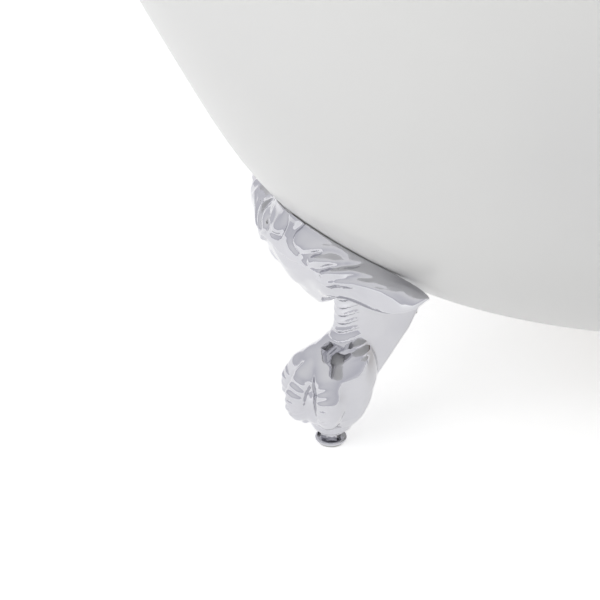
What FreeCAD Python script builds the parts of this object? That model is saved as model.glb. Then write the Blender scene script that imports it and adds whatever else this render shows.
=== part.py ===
"""Double-ended roll-top bath on four ball-and-claw feet, with its exposed waste.

Millimetres. X runs along the bath, Y across it (the waste is on the +Y side), Z up from the floor.
"""
import FreeCAD, Part
import math
import os

V = FreeCAD.Vector
UP = V(0, 0, 1)

# ---- shell -----------------------------------------------------------------
SHELL_BASE = 93.0          # underside of the shell above the floor
SHELL_WALL = 8.0           # acrylic and laminate together
END_BEND = 340.0           # radius from the bottom into the end wall
END_SLOPE = 62.3           # slope of the end wall where that bend ends, degrees
SIDE_BEND = 212.0          # radius from the bottom into the side wall
SIDE_SLOPE = 80.6
PLAN_LOW = 3.2             # roundness of the plan (superellipse power) low down
PLAN_RIM = 2.5             # and at the rim
PLAN_EASE = 330.0          # height where the plan starts to turn from one into the other
ROLL_LONG = 832.0          # centre of the rolled rim, along X
ROLL_WIDE = 382.0          # and along Y
ROLL_HEIGHT = 582.0
WALL_DROP = 22.0           # from there down to the walls' top
WALL_TOP = ROLL_HEIGHT - WALL_DROP
END_IN = 469.0             # from the roll's centre back to the end of the flat bottom
SIDE_IN = 238.0            # and to its side
END_FLAT = ROLL_LONG - END_IN
SIDE_FLAT = ROLL_WIDE - SIDE_IN
ROLL_BORE = 10.0           # inner radius of the roll
ROLL_END = -70.0           # angle at which the roll stops, degrees
DRAIN_Y = 70.0
DRAIN_HOLE = 26.0          # radius
OVERFLOW_DROP = 82.0       # from the roll's centre down
OVERFLOW_Z = ROLL_HEIGHT - OVERFLOW_DROP
OVERFLOW_HOLE = 25.0

# ---- board laminated under the bottom ----------------------------------------
BOARD_THICK = 12.0
BOARD_END_IN = 53.0        # from the flat bottom's end to the board's
BOARD_SIDE_IN = 29.0
BOARD_LONG = 2 * (END_FLAT - BOARD_END_IN)
BOARD_WIDE = 2 * (SIDE_FLAT - BOARD_SIDE_IN)
BOARD_HOLE = 33.0
GAP = 0.3                  # between separate pieces that meet

# ---- feet --------------------------------------------------------------------
FOOT_END_IN = 267.0        # leveller's axis from the roll's centre, along X
FOOT_SIDE_IN = 212.0       # and along Y
FOOT_X = ROLL_LONG - FOOT_END_IN
FOOT_Y = ROLL_WIDE - FOOT_SIDE_IN
FOOT_TURN = 29.0           # how far a foot points off the long axis, degrees
BOSS_Z = 14.8              # flat under the foot that the lock nut meets
BOSS_R = 15.0
BOSS_HIGH = 14.0
BOSS_FLARE = 9.0
BALL_X = 6.0
BALL_Z = 48.0
BALL_R = 29.0
TOE_SPREAD = 62.0
TOE_REACH = 27.5           # toe centre line from the ball's centre
TOE_R = 8.6
SHIN_R = 11.0
SHIN_X = -17.0
SHIN_LOW = 84.0
SHIN_HIGH = 142.0
SHIN_RIBS = 8
SHIN_BULGE = 1.2
LEG_HALF = 14.0            # half thickness of the web behind the shin
LEG_LOW = 18.0
LEG_STEP = 18.0
LEG_BACK = 100.0           # from the leveller's axis to the web's back at its top
SADDLE_HALF = 116.0        # from the middle of the saddle to a wing tip
SADDLE_TOP = 208.0         # rim against the bath, at the middle
SADDLE_LOW = 160.0         # lower border beside the middle

# ---- fixing of each foot -------------------------------------------------------
BRACKET_THICK = 5.0
BRACKET_LONG = 46.0
BRACKET_HALF = 10.5        # half width, inside the leg's web
BRACKET_REACH = 120.0      # from the seat up past the shell's outside
STUD_X = -72.0             # from the leveller's axis, towards the middle of the bath
STUD_R = 5.0
STUD_LOW = 90.0
STUD_LONG = 80.0
STUD_NUT_AF = 17.0
STUD_NUT_HIGH = 8.0
WASHER_R = 10.0
WASHER_THICK = 2.0
SEAT_Z = 108.0             # underside that the washer bears on
POCKET_R = 10.6
POCKET_DEEP = 60.0

# ---- levellers -----------------------------------------------------------------
GLIDE_THICK = 1.2
GLIDE_R = 10.5
DISC_R = 12.9
DISC_THICK = 4.2
HEX_AF = 14.0
HEX_THICK = 3.2
LOCK_AF = 17.0
LOCK_THICK = 5.4
LEVEL_R = 5.0              # stud radius
LEVEL_LONG = 30.0          # stud above the hex
LEVEL_SPARE = 4.0          # bore above the stud
THREAD_GAP = 0.05

# ---- waste ---------------------------------------------------------------------
TUBE_R = 19.0
TUBE_BORE = 17.4
PIPE_Z = 54.0              # height of the tube under the bath
SOCKET_GAP = 0.2           # round a tube in its socket
FLANGE_R = 36.0
FLANGE_THICK = 3.0
BARREL_R = 24.0
BARREL_BORE = 20.0
BARREL_LOW = 62.0
CROSS_HUB = 6.0
CROSS_LOW = 80.0
CROSS_THICK = 4.0
STEM_R = 3.0
STEM_LOW = 56.4
PLUG_R = 18.0
RING_R = 1.6
STOPPER_R = 23.0
SHOE_R = 29.0
SHOE_BORE = 24.4
SHOE_LOW = 30.5
SHOE_FLOOR = 4.0
SHOE_TOP = 90.0
OUTLET_R = 22.0
OUTLET_LONG = 50.0
SOCKET_LONG = 20.0
TEE_R = 20.8
TEE_BRANCH = 42.0
TEE_LOW = 26.0
TEE_HIGH = 90.0
TEE_SOCKET = 15.0
SLIP_WALL = 2.0
SLIP_LONG = 16.0
SLIP_SEAL = 2.0
TAIL_R = 20.0              # wider end that goes into a 40 mm fitting
TAIL_END = 20.0
TAIL_LOW = 4.0
TAIL_HIGH = 43.0
ELBOW_R = 20.8
ELBOW_DOWN = 42.0          # from the overflow's axis to the elbow's lower end
ELBOW_LOW = OVERFLOW_Z - ELBOW_DOWN
GASKET_R = 33.0
GASKET_THICK = 2.0
PLATE_R = 36.0
PLATE_THICK = 4.0
SLEEVE_WALL = 2.5
SLEEVE_IN = 10.0           # how far the plate's sleeve reaches into the elbow
PORT_R = 3.2
PORT_OUT = 11.0            # ports' centres from the spindle
KNOB_R = 31.0
KNOB_THICK = 14.0
KNOB_FLUTES = 6
SPINDLE_R = 5.0
CRANK_LONG = 12.0          # crank at the spindle's end, which pulls the cable
CRANK_WIDE = 6.0
CRANK_THICK = 3.5
CRANK_OFF = 1.5            # from the crank to the cable
ARM_LONG = 24.0
ARM_TIP = 1.5
ARM_WIDE = 8.0
ARM_THICK = 4.0
ARM_PIN_R = 2.0
CABLE_R = 2.5
CABLE_BEND = 30.0
CABLE_DROP = 12.0          # from the spindle's axis down
CABLE_TOP = OVERFLOW_Z - CABLE_DROP
CABLE_OFF = 1.0            # from the arm's eye to the end of the cable


# ---- helpers --------------------------------------------------------------------
def cylinder(radius, start, end):
    axis = end - start
    return Part.makeCylinder(radius, axis.Length, start, axis)


def pipe(outer, inner, start, end):
    return cylinder(outer, start, end).cut(cylinder(inner, start, end))


def hexagon(flats, low, high, x=0.0, y=0.0):
    corner = flats / 2 / math.cos(math.radians(30))
    points = [V(x + corner * math.cos(math.radians(60 * i)),
                y + corner * math.sin(math.radians(60 * i)), low) for i in range(7)]
    return Part.Face(Part.makePolygon(points)).extrude(V(0, 0, high - low))


def loft(sections, solid=True):
    return Part.makeLoft(sections, solid, False)


def closed_spline(points):
    curve = Part.BSplineCurve()
    count = len(points)
    curve.interpolate(Points=points, PeriodicFlag=True,
                      Parameters=[i / count for i in range(count + 1)])
    return Part.Wire(curve.toShape())


def save(name, *solids):
    shape = solids[0] if len(solids) == 1 else Part.makeCompound(list(solids))
    shape.exportStep("parts/%s.step" % name)


# ---- the shell's form ----------------------------------------------------------
class Side:
    """One half profile of the shell: a flat, a bend, then a wall that runs into the rolled rim."""

    def __init__(self, flat, bend, slope, roll):
        self.flat, self.bend, self.slope = flat, bend, math.radians(slope)
        self.roll = roll
        self.low_z = SHELL_BASE + bend                       # centre height of the bend
        tangent = (math.cos(self.slope), math.sin(self.slope))
        normal = (-tangent[1], tangent[0])
        end = (flat + bend * tangent[1], self.low_z - bend * tangent[0])
        dx = roll - (end[0] - ROLL_BORE * normal[0])
        dz = ROLL_HEIGHT - (end[1] - ROLL_BORE * normal[1])
        across = dx * normal[0] + dz * normal[1]
        self.wall = (dx * dx + dz * dz) / (2 * across) - ROLL_BORE
        self.centre = (end[0] + normal[0] * self.wall, end[1] + normal[1] * self.wall)
        self.top_slope = 2 * math.atan2(dz, dx) - self.slope

    def at(self, z, out=0.0):
        """Half width at height z of the outer face moved outwards by out."""
        radius = self.bend + out
        if z <= self.low_z - radius * math.cos(self.slope):
            return self.flat + math.sqrt(max(0.0, radius ** 2 - (self.low_z - z) ** 2))
        sign = 1.0 if self.wall > 0 else -1.0
        reach = math.sqrt((self.wall + out) ** 2 - (z - self.centre[1]) ** 2)
        return self.centre[0] + sign * reach

    def roll_start(self):
        return 90.0 + math.degrees(self.top_slope)

    def roll_point(self, radius, angle):
        a = math.radians(angle)
        return self.roll + radius * math.cos(a), ROLL_HEIGHT + radius * math.sin(a)


END = Side(END_FLAT, END_BEND, END_SLOPE, ROLL_LONG)
SIDE = Side(SIDE_FLAT, SIDE_BEND, SIDE_SLOPE, ROLL_WIDE)
RING_POINTS = 72


def plan_power(z):
    k = min(max((z - PLAN_EASE) / (ROLL_HEIGHT - PLAN_EASE), 0.0), 1.0)
    return PLAN_LOW + (PLAN_RIM - PLAN_LOW) * k * k * (3 - 2 * k)


def ring(long_at, wide_at, power):
    """Closed ring; long_at and wide_at are (half size, height) on the X and the Y axis."""
    points = []
    for i in range(RING_POINTS):
        a = 2 * math.pi * i / RING_POINTS
        c, s = math.cos(a), math.sin(a)
        r = (abs(c) ** power + abs(s) ** power) ** (-1 / power)
        points.append(V(long_at[0] * r * c, wide_at[0] * r * s,
                        long_at[1] * c * c + wide_at[1] * s * s))
    return closed_spline(points)


def level_ring(z, out=0.0):
    return ring((END.at(z, out), z), (SIDE.at(z, out), z), plan_power(z))


def wall_heights(out, top):
    """Heights of the level rings, close together where the bottom bends."""
    radius, bend_steps, wall_steps = END_BEND + out, 9, 7
    heights = [END.low_z - radius * math.cos(END.slope * i / bend_steps)
               for i in range(bend_steps + 1)]
    last = heights[-1]
    heights += [last + (top - last) * i / wall_steps for i in range(1, wall_steps + 1)]
    return heights


def form(out):
    """Solid of the shell's outer form moved outwards, for fitting things against it."""
    return loft([level_ring(z, out) for z in wall_heights(out, WALL_TOP)])


def roll_rings(radius, steps=8):
    rings = []
    for i in range(steps + 1):
        t = i / steps
        points = []
        for side in (END, SIDE):
            start = side.roll_start()
            points.append(side.roll_point(radius, start + (ROLL_END - start) * t))
        rings.append(ring(points[0], points[1], PLAN_RIM))
    return rings


def lip_middle():
    middle, along = ROLL_BORE + SHELL_WALL / 2, math.radians(ROLL_END - 90)
    points = []
    for side in (END, SIDE):
        x, z = side.roll_point(middle, ROLL_END)
        points.append((x + SHELL_WALL / 2 * math.cos(along), z + SHELL_WALL / 2 * math.sin(along)))
    return ring(points[0], points[1], PLAN_RIM)


def tub_shell():
    under_roll = roll_rings(ROLL_BORE)
    over_roll = roll_rings(ROLL_BORE + SHELL_WALL)
    outer = [level_ring(z) for z in wall_heights(0, WALL_TOP)] + [under_roll[0]]
    inner = [level_ring(z, -SHELL_WALL) for z in wall_heights(-SHELL_WALL, WALL_TOP)]
    inner.append(over_roll[0])
    faces = [Part.Face(outer[0]), Part.Face(inner[0])]
    for rings in (outer, under_roll, [under_roll[-1], lip_middle(), over_roll[-1]],
                  over_roll, inner):
        faces += loft(rings, solid=False).Faces
    shell = Part.makeShell(faces)
    shell.sewShape()
    solid = Part.Solid(shell)
    if solid.Volume < 0:
        solid.reverse()
    drain = cylinder(DRAIN_HOLE, V(0, DRAIN_Y, SHELL_BASE - 20), V(0, DRAIN_Y, SHELL_BASE + 40))
    overflow = cylinder(OVERFLOW_HOLE, V(0, ROLL_WIDE - 40, OVERFLOW_Z),
                        V(0, ROLL_WIDE + 20, OVERFLOW_Z))
    return solid.cut(drain).cut(overflow)


def board():
    top = SHELL_BASE - GAP
    box = Part.makeBox(BOARD_LONG, BOARD_WIDE, BOARD_THICK,
                       V(-BOARD_LONG / 2, -BOARD_WIDE / 2, top - BOARD_THICK))
    upright = [e for e in box.Edges if abs(e.tangentAt(e.FirstParameter).z) > 0.9]
    box = box.makeFillet(BOARD_WIDE / 5, upright)
    hole = cylinder(BOARD_HOLE, V(0, DRAIN_Y, top - 2 * BOARD_THICK), V(0, DRAIN_Y, top + 1))
    return box.cut(hole)


# ---- the foot -------------------------------------------------------------------
# Local frame: leveller axis at the origin, +X outwards from the bath, +Z up.
def place_foot(shape):
    moved = shape.copy()
    moved.Placement = FreeCAD.Placement(V(-FOOT_X, -FOOT_Y, 0),
                                        FreeCAD.Rotation(UP, 180 + FOOT_TURN))
    return moved


def toe(azimuth):
    """One toe that grips the ball: two knuckles, then a talon."""
    stations = [(78, 0.72, 0.80), (60, 0.95, 0.97), (44, 1.05, 1.0), (28, 0.85, 1.0), (12, 1.0, 1.0),
                (-4, 0.85, 1.0), (-22, 0.65, 1.0), (-40, 0.42, 0.97), (-55, 0.22, 0.90)]
    out = V(math.cos(math.radians(azimuth)), math.sin(math.radians(azimuth)), 0)
    centre = V(BALL_X, 0, BALL_Z)
    sections = []
    for angle, girth, reach in stations:
        a = math.radians(angle)
        spot = centre + (out * math.cos(a) + UP * math.sin(a)) * TOE_REACH * reach
        along = out * math.sin(a) - UP * math.cos(a)
        sections.append(Part.Wire(Part.Circle(spot, along, TOE_R * girth).toShape()))
    return loft(sections)


def shin():
    """Upright front of the leg, ringed with scales."""
    step = (SHIN_HIGH - SHIN_LOW) / SHIN_RIBS
    edges = []
    for i in range(SHIN_RIBS):
        low, high = SHIN_LOW + i * step, SHIN_LOW + (i + 1) * step
        edges.append(Part.Arc(V(SHIN_R, 0, low), V(SHIN_R + SHIN_BULGE, 0, (low + high) / 2),
                              V(SHIN_R, 0, high)).toShape())
    corners = [V(SHIN_R, 0, SHIN_HIGH), V(0, 0, SHIN_HIGH), V(0, 0, SHIN_LOW), V(SHIN_R, 0, SHIN_LOW)]
    edges += [Part.LineSegment(a, b).toShape() for a, b in zip(corners, corners[1:])]
    turned = Part.Face(Part.Wire(edges)).revolve(V(0, 0, 0), UP, 360)
    turned.translate(V(SHIN_X, 0, 0))
    return turned


def leg():
    """Web behind the shin: it grows backwards as it rises to the underside of the bath."""
    backs = (-0.12, -0.20, -0.36, -0.55, -0.73, -0.84, -0.93, -1.0)
    fronts = (0.10, 0.12, 0.10, 0.03, -0.08, -0.10, -0.10, -0.08)
    halves = (0.79, 1.14, 1.29, 1.14, 0.96, 1.0, 1.0, 1.0)
    power, count = 2.8, 24
    sections = []
    for level, (back, front, half) in enumerate(zip(backs, fronts, halves)):
        back, front, half = back * LEG_BACK, front * LEG_BACK, half * LEG_HALF
        z = LEG_LOW + level * LEG_STEP
        middle, reach = (back + front) / 2, (front - back) / 2
        points = []
        for i in range(count):
            a = 2 * math.pi * i / count
            c, s = math.cos(a), math.sin(a)
            r = (abs(c) ** power + abs(s) ** power) ** (-1 / power)
            points.append(V(middle + reach * r * c, half * r * s, z))
        sections.append(closed_spline(points))
    return loft(sections)


def saddle_section(y):
    """Closed section of the saddle across its width, at distance y from its middle."""
    h = SADDLE_HALF
    q = (y / h) ** 2
    drop = math.exp(-(y / h / 0.19) ** 2)
    fade = 1 - 0.85 * q
    crown = (h * (0.181 - 0.534 * q + 0.284 * q * q),                   # rim against the bath
             SADDLE_TOP + h * (-0.397 * q + 0.276 * q * q))
    lip = (h * (0.267 - 0.284 * q - 0.224 * drop), SADDLE_LOW + h * (0.224 * q - 0.259 * drop))
    swell = h * 0.078 * (1 + drop) * fade
    dx, dz = lip[0] - crown[0], lip[1] - crown[1]
    size = math.hypot(dx, dz)
    nx, nz = -dz / size, dx / size
    outline = [crown,
               (crown[0] + 0.22 * dx + swell * nx, crown[1] + 0.22 * dz + swell * nz),
               (crown[0] + 0.6 * dx + 0.8 * swell * nx, crown[1] + 0.6 * dz + 0.8 * swell * nz),
               lip,
               (lip[0] - 0.172 * h * fade, lip[1] + 0.017 * h),
               (crown[0] - 0.397 * h * fade, crown[1] - 0.19 * h * fade),
               (crown[0] - 0.259 * h * fade, crown[1] + 0.069 * h * fade)]
    return closed_spline([V(x, y, z) for x, z in outline])


def saddle():
    count = 13
    return loft([saddle_section(SADDLE_HALF * (2 * i / (count - 1) - 1)) for i in range(count)])


def bracket_block(grow=0.0):
    half = BRACKET_LONG / 2 + grow
    wide = BRACKET_HALF + grow
    return place_foot(Part.makeBox(2 * half, 2 * wide, BRACKET_REACH, V(STUD_X - half, -wide, SEAT_Z)))


def foot_casting():
    boss = Part.makeCone(BOSS_R, BOSS_R + BOSS_FLARE, BOSS_HIGH, V(0, 0, BOSS_Z), UP)
    body = Part.makeSphere(BALL_R, V(BALL_X, 0, BALL_Z))
    body = body.fuse([boss, leg(), shin(), saddle()] + [toe(a) for a in (-TOE_SPREAD, 0, TOE_SPREAD)])
    bore = cylinder(LEVEL_R + THREAD_GAP, V(0, 0, BOSS_Z - 1), V(0, 0, HEX_TOP + LEVEL_LONG + LEVEL_SPARE))
    stud_hole = cylinder(STUD_R + 2 * GAP, V(STUD_X, 0, SEAT_Z - 1), V(STUD_X, 0, SEAT_Z + STUD_LONG))
    pocket = cylinder(POCKET_R, V(STUD_X, 0, SEAT_Z - POCKET_DEEP), V(STUD_X, 0, SEAT_Z))
    body = place_foot(body.cut([bore, stud_hole, pocket]))
    room = bracket_block(GAP).common(form(BRACKET_THICK + 2 * GAP))
    return body.cut(form(2 * GAP)).cut(room)


def bracket():
    """Plate bonded to the shell, with its welded stud."""
    plate = bracket_block().common(form(GAP + BRACKET_THICK))
    stud = place_foot(cylinder(STUD_R, V(STUD_X, 0, STUD_LOW), V(STUD_X, 0, STUD_LOW + STUD_LONG)))
    return plate.fuse(stud).cut(form(GAP))


def stud_nut():
    top = SEAT_Z - GAP - WASHER_THICK
    nut = hexagon(STUD_NUT_AF, top - STUD_NUT_HIGH, top, STUD_X)
    thread = cylinder(STUD_R + THREAD_GAP, V(STUD_X, 0, top - 2 * STUD_NUT_HIGH),
                      V(STUD_X, 0, top + STUD_NUT_HIGH))
    return place_foot(nut.cut(thread))


def stud_washer():
    top = SEAT_Z - GAP
    return place_foot(pipe(WASHER_R, STUD_R + 0.25, V(STUD_X, 0, top - WASHER_THICK), V(STUD_X, 0, top)))


# ---- levellers -------------------------------------------------------------------
DISC_LOW = GLIDE_THICK + 0.1
HEX_LOW = DISC_LOW + DISC_THICK
HEX_TOP = HEX_LOW + HEX_THICK


def leveller():
    disc = cylinder(DISC_R, V(0, 0, DISC_LOW), V(0, 0, HEX_LOW))
    disc = disc.makeFillet(DISC_THICK * 0.4, [e for e in disc.Edges if e.Closed])
    head = hexagon(HEX_AF, HEX_LOW, HEX_TOP)
    stud = cylinder(LEVEL_R, V(0, 0, HEX_TOP), V(0, 0, HEX_TOP + LEVEL_LONG))
    return place_foot(disc.fuse([head, stud]))


def glide():
    return place_foot(cylinder(GLIDE_R, V(0, 0, 0), V(0, 0, GLIDE_THICK)))


def lock_nut():
    nut = hexagon(LOCK_AF, BOSS_Z - GAP - LOCK_THICK, BOSS_Z - GAP)
    return place_foot(nut.cut(cylinder(LEVEL_R + THREAD_GAP, V(0, 0, 0), V(0, 0, BOSS_Z))))


# ---- waste -----------------------------------------------------------------------
FLOOR_Z = SHELL_BASE + SHELL_WALL
FLANGE_LOW = FLOOR_Z + GAP
FLANGE_TOP = FLANGE_LOW + FLANGE_THICK
PIVOT_Y = DRAIN_Y + ARM_LONG
OUTLET_END = DRAIN_Y + OUTLET_LONG
CABLE_END = PIVOT_Y + ARM_THICK + CABLE_OFF
SOCKET_R = TUBE_R + SOCKET_GAP
WALL_FACE = max(SIDE.at(OVERFLOW_Z + d) for d in (-GASKET_R, 0, GASKET_R)) + GAP
WALL_BACK = min(SIDE.at(OVERFLOW_Z + d, -SHELL_WALL) for d in (-PLATE_R, 0, PLATE_R)) - GAP
ELBOW_FACE = WALL_FACE + GASKET_THICK + GAP
STACK_Y = ELBOW_FACE + ELBOW_R      # the upright overflow tube stands right behind that face
BRANCH_END = STACK_Y - TEE_BRANCH


def at_drain(z, dy=0.0):
    return V(0, DRAIN_Y + dy, z)


def along_y(radius, y0, y1, z):
    return cylinder(radius, V(0, y0, z), V(0, y1, z))


def drain_flange():
    flange = pipe(FLANGE_R, BARREL_BORE, at_drain(FLANGE_LOW), at_drain(FLANGE_TOP))
    barrel = pipe(BARREL_R, BARREL_BORE, at_drain(BARREL_LOW), at_drain(FLANGE_LOW))
    bar = Part.makeBox(2 * BARREL_BORE + 2, CROSS_THICK, CROSS_THICK,
                       V(-BARREL_BORE - 1, DRAIN_Y - CROSS_THICK / 2, CROSS_LOW))
    other = bar.copy()
    other.rotate(at_drain(0), UP, 90)
    hub = cylinder(CROSS_HUB, at_drain(CROSS_LOW), at_drain(CROSS_LOW + CROSS_THICK))
    guide = cylinder(STEM_R + THREAD_GAP, at_drain(0), at_drain(FLANGE_LOW))
    return flange.fuse([barrel, bar, other, hub]).cut(guide)


def drain_washer():
    return pipe(SHOE_R, BARREL_R + GAP, at_drain(SHOE_TOP + GAP), at_drain(SHELL_BASE - GAP))


def drain_shoe():
    body = cylinder(SHOE_R, at_drain(SHOE_LOW), at_drain(SHOE_TOP))
    body = body.fuse(along_y(OUTLET_R, DRAIN_Y, OUTLET_END, PIPE_Z))
    cavity = cylinder(SHOE_BORE, at_drain(SHOE_LOW + SHOE_FLOOR), at_drain(SHOE_TOP + 1))
    throat = along_y(TUBE_BORE, DRAIN_Y, OUTLET_END, PIPE_Z)
    socket = along_y(SOCKET_R, OUTLET_END - SOCKET_LONG, OUTLET_END + 1, PIPE_Z)
    pin_hole = cylinder(ARM_PIN_R + THREAD_GAP, V(-OUTLET_R - 1, PIVOT_Y, PIPE_Z),
                        V(OUTLET_R + 1, PIVOT_Y, PIPE_Z))
    return body.cut([cavity, throat, socket, pin_hole])


def rocker_pin():
    reach = TUBE_BORE + 2
    return cylinder(ARM_PIN_R, V(-reach, PIVOT_Y, PIPE_Z), V(reach, PIVOT_Y, PIPE_Z))


def rocker_arm():
    arm = Part.makeBox(ARM_WIDE, ARM_LONG + ARM_TIP + 4, ARM_THICK,
                       V(-ARM_WIDE / 2, DRAIN_Y - ARM_TIP, PIPE_Z - ARM_THICK / 2))
    eye = cylinder(ARM_THICK, V(-ARM_WIDE / 2, PIVOT_Y, PIPE_Z), V(ARM_WIDE / 2, PIVOT_Y, PIPE_Z))
    hole = cylinder(ARM_PIN_R + THREAD_GAP, V(-ARM_WIDE, PIVOT_Y, PIPE_Z), V(ARM_WIDE, PIVOT_Y, PIPE_Z))
    return arm.fuse(eye).cut(hole)


def stopper_groove(radius):
    return Part.makeTorus(PLUG_R + RING_R / 5, radius, at_drain(FLANGE_LOW - 2), UP)


def stopper():
    seat = FLANGE_TOP + GAP
    disc = cylinder(STOPPER_R, at_drain(seat), at_drain(seat + 3))
    disc = disc.makeFillet(1.2, [e for e in disc.Edges if e.Closed])
    dome = Part.makeSphere(60, at_drain(seat + 5 - 60)).common(
        cylinder(STOPPER_R - 3, at_drain(seat + 1), at_drain(seat + 10)))
    plug = cylinder(PLUG_R, at_drain(FLANGE_LOW - 5), at_drain(seat)).cut(stopper_groove(RING_R + 0.1))
    stem = cylinder(STEM_R, at_drain(STEM_LOW), at_drain(FLANGE_LOW - 5))
    return disc.fuse([dome, plug, stem])


def stopper_ring():
    return stopper_groove(RING_R)


def shoe_tube():
    return pipe(TUBE_R, TUBE_BORE, V(0, OUTLET_END - SOCKET_LONG + GAP, PIPE_Z),
                V(0, BRANCH_END + SOCKET_LONG - GAP, PIPE_Z))


def waste_tee():
    body = cylinder(TEE_R, V(0, STACK_Y, TEE_LOW), V(0, STACK_Y, TEE_HIGH))
    body = body.fuse(along_y(TEE_R, BRANCH_END, STACK_Y, PIPE_Z))
    run = cylinder(TUBE_BORE, V(0, STACK_Y, TEE_LOW - 1), V(0, STACK_Y, TEE_HIGH + 1))
    branch = along_y(TUBE_BORE, BRANCH_END - 1, STACK_Y, PIPE_Z)
    sockets = [cylinder(SOCKET_R, V(0, STACK_Y, TEE_HIGH - TEE_SOCKET), V(0, STACK_Y, TEE_HIGH + 1)),
               cylinder(SOCKET_R, V(0, STACK_Y, TEE_LOW - 1), V(0, STACK_Y, TAIL_HIGH + GAP)),
               along_y(SOCKET_R, BRANCH_END - 1, BRANCH_END + SOCKET_LONG, PIPE_Z)]
    return body.cut([run, branch] + sockets)


def tailpiece():
    wide_end = cylinder(TAIL_R, V(0, STACK_Y, TAIL_LOW), V(0, STACK_Y, TAIL_LOW + TAIL_END))
    body = wide_end.fuse(cylinder(TUBE_R, V(0, STACK_Y, TAIL_LOW), V(0, STACK_Y, TAIL_HIGH)))
    return body.cut(cylinder(TUBE_BORE, V(0, STACK_Y, TAIL_LOW - 1), V(0, STACK_Y, TAIL_HIGH + 1)))


def overflow_tube():
    return pipe(TUBE_R, TUBE_BORE, V(0, STACK_Y, TEE_HIGH - TEE_SOCKET + GAP),
                V(0, STACK_Y, ELBOW_LOW + SOCKET_LONG - GAP))


def joint_ends():
    """Mouth, direction into the socket and outer radius of each slip joint."""
    return [(V(0, OUTLET_END, PIPE_Z), V(0, -1, 0), OUTLET_R),
            (V(0, BRANCH_END, PIPE_Z), V(0, 1, 0), TEE_R),
            (V(0, STACK_Y, TEE_HIGH), V(0, 0, -1), TEE_R)]


def slip_nuts():
    nuts = []
    for mouth, inward, radius in joint_ends():
        skirt, lid = mouth + inward * (SLIP_LONG * 0.7), mouth - inward * (SLIP_LONG * 0.3)
        nut = cylinder(radius + SLIP_WALL, skirt, lid)
        hollow = cylinder(radius + GAP, skirt + inward, mouth - inward * (SLIP_SEAL + GAP))
        nuts.append(nut.cut([hollow, cylinder(TUBE_R + 2 * GAP, skirt, lid)]))
    return nuts


def slip_washers():
    return [pipe(radius, TUBE_R + SOCKET_GAP / 2, mouth - inward * GAP / 2,
                 mouth - inward * (SLIP_SEAL + GAP / 2)) for mouth, inward, radius in joint_ends()]


def overflow_elbow():
    corner = V(0, STACK_Y, OVERFLOW_Z)
    body = cylinder(ELBOW_R, V(0, STACK_Y, ELBOW_LOW), corner)
    body = body.fuse([Part.makeSphere(ELBOW_R, corner), along_y(ELBOW_R, ELBOW_FACE, STACK_Y, OVERFLOW_Z),
                      along_y(GASKET_R, ELBOW_FACE - GASKET_R, ELBOW_FACE + PLATE_THICK, OVERFLOW_Z)])
    cavity = Part.makeSphere(TUBE_BORE, corner).fuse(
        [cylinder(TUBE_BORE, V(0, STACK_Y, ELBOW_LOW), corner),
         along_y(TUBE_BORE, ELBOW_FACE - 2 * GASKET_R, STACK_Y, OVERFLOW_Z),
         cylinder(SOCKET_R, V(0, STACK_Y, ELBOW_LOW - 1), V(0, STACK_Y, ELBOW_LOW + SOCKET_LONG))])
    return body.cut(cavity).cut(form(GASKET_THICK + 2 * GAP))


def overflow_gasket():
    """Gasket of even thickness that lies on the sloping wall."""
    ring = pipe(GASKET_R, OVERFLOW_HOLE, V(0, WALL_FACE - GASKET_R, OVERFLOW_Z),
                V(0, ELBOW_FACE + GASKET_R, OVERFLOW_Z))
    return ring.common(form(GAP + GASKET_THICK)).cut(form(GAP))


def overflow_plate():
    """Trim plate inside the bath, its barrel through the wall and the spindle's bush."""
    back = WALL_BACK
    plate = along_y(PLATE_R, back - PLATE_THICK, back + PLATE_R, OVERFLOW_Z)
    plate = plate.common(form(-SHELL_WALL - GAP))
    sleeve = pipe(TUBE_BORE - GAP, TUBE_BORE - SLEEVE_WALL, V(0, back, OVERFLOW_Z),
                  V(0, ELBOW_FACE + SLEEVE_IN, OVERFLOW_Z))
    holes = [along_y(SPINDLE_R + THREAD_GAP, back - 2 * PLATE_THICK, ELBOW_FACE + PLATE_R, OVERFLOW_Z)]
    for i in range(4):
        a = math.radians(45 + 90 * i)
        x, z = PORT_OUT * math.cos(a), OVERFLOW_Z + PORT_OUT * math.sin(a)
        holes.append(cylinder(PORT_R, V(x, back - 2 * PLATE_THICK, z), V(x, ELBOW_FACE + PLATE_R, z)))
    return plate.fuse(sleeve).cut(holes)


def overflow_knob():
    front = WALL_BACK - PLATE_THICK - GAP
    knob = along_y(KNOB_R, front - KNOB_THICK, front, OVERFLOW_Z)
    knob = knob.makeFillet(3, [e for e in knob.Edges if e.Closed])
    flutes = []
    for i in range(KNOB_FLUTES):
        a = 2 * math.pi * (i + 0.5) / KNOB_FLUTES
        x, z = (KNOB_R + 3) * math.cos(a), OVERFLOW_Z + (KNOB_R + 3) * math.sin(a)
        flutes.append(cylinder(6, V(x, front - KNOB_THICK - 1, z), V(x, front - 4, z)))
    crank_end = STACK_Y - CABLE_R - CRANK_OFF
    spindle = along_y(SPINDLE_R, front, crank_end, OVERFLOW_Z)
    crank = Part.makeBox(CRANK_LONG, CRANK_THICK, CRANK_WIDE,
                         V(0, crank_end - CRANK_THICK, OVERFLOW_Z - CRANK_WIDE / 2))
    return knob.cut(flutes).fuse([spindle, crank])


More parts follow.
